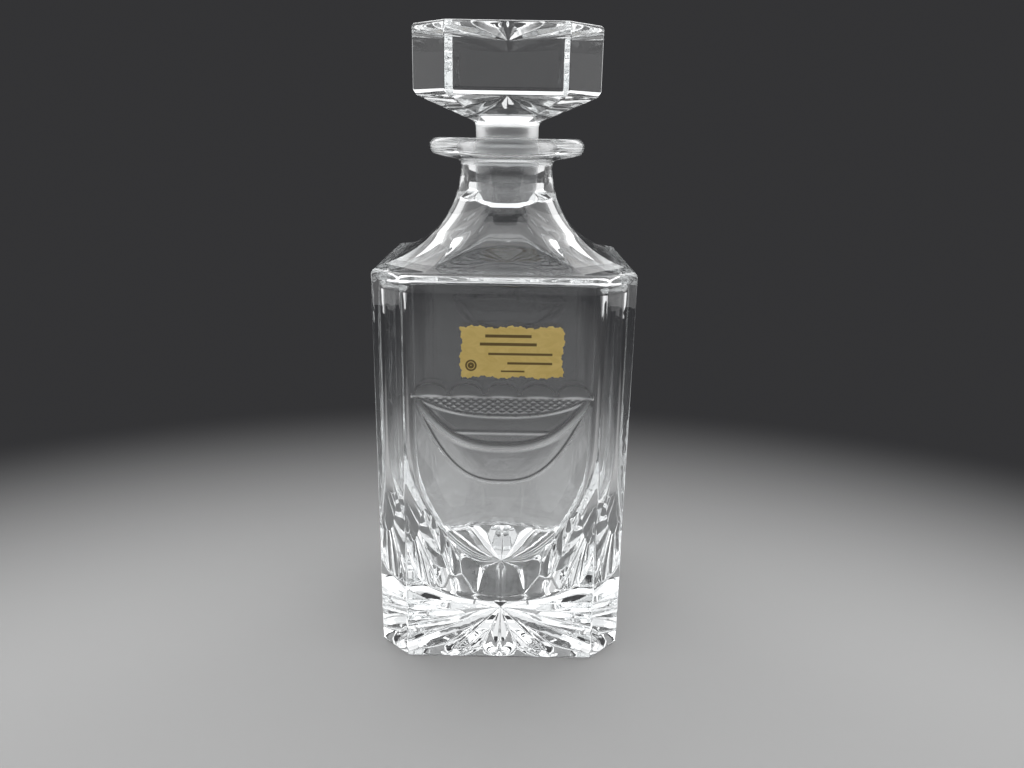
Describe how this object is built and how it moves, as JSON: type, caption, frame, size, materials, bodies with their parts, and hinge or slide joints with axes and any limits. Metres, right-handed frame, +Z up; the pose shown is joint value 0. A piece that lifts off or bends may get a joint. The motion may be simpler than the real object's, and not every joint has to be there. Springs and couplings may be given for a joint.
{
  "type": "decanter",
  "caption": "Square cut crystal decanter with cut corners, a swept shoulder, a flanged lip, a star-cut base and a square lift-out stopper.",
  "frame": {"origin": "middle of the underside, on the plane that the flat rim round the base star rests on", "axes": "+Z up through the neck, -Y out of the front face that carries the label, +X to the viewer's right"},
  "size_m": [0.09, 0.0901, 0.2214],
  "materials": {
    "crystal": "polished clear lead crystal",
    "foil": "satin gold foil on paper"
  },
  "bodies": {
    "bottle": {"decanter_body": "crystal", "label": "foil"},
    "stopper": {"stopper": "crystal"}
  },
  "joints": [
    {"name": "stopper_lift", "type": "slide", "parent": "bottle", "child": "stopper", "axis": [0, 0, 1], "range_m": [0, 0.06]}
  ]
}
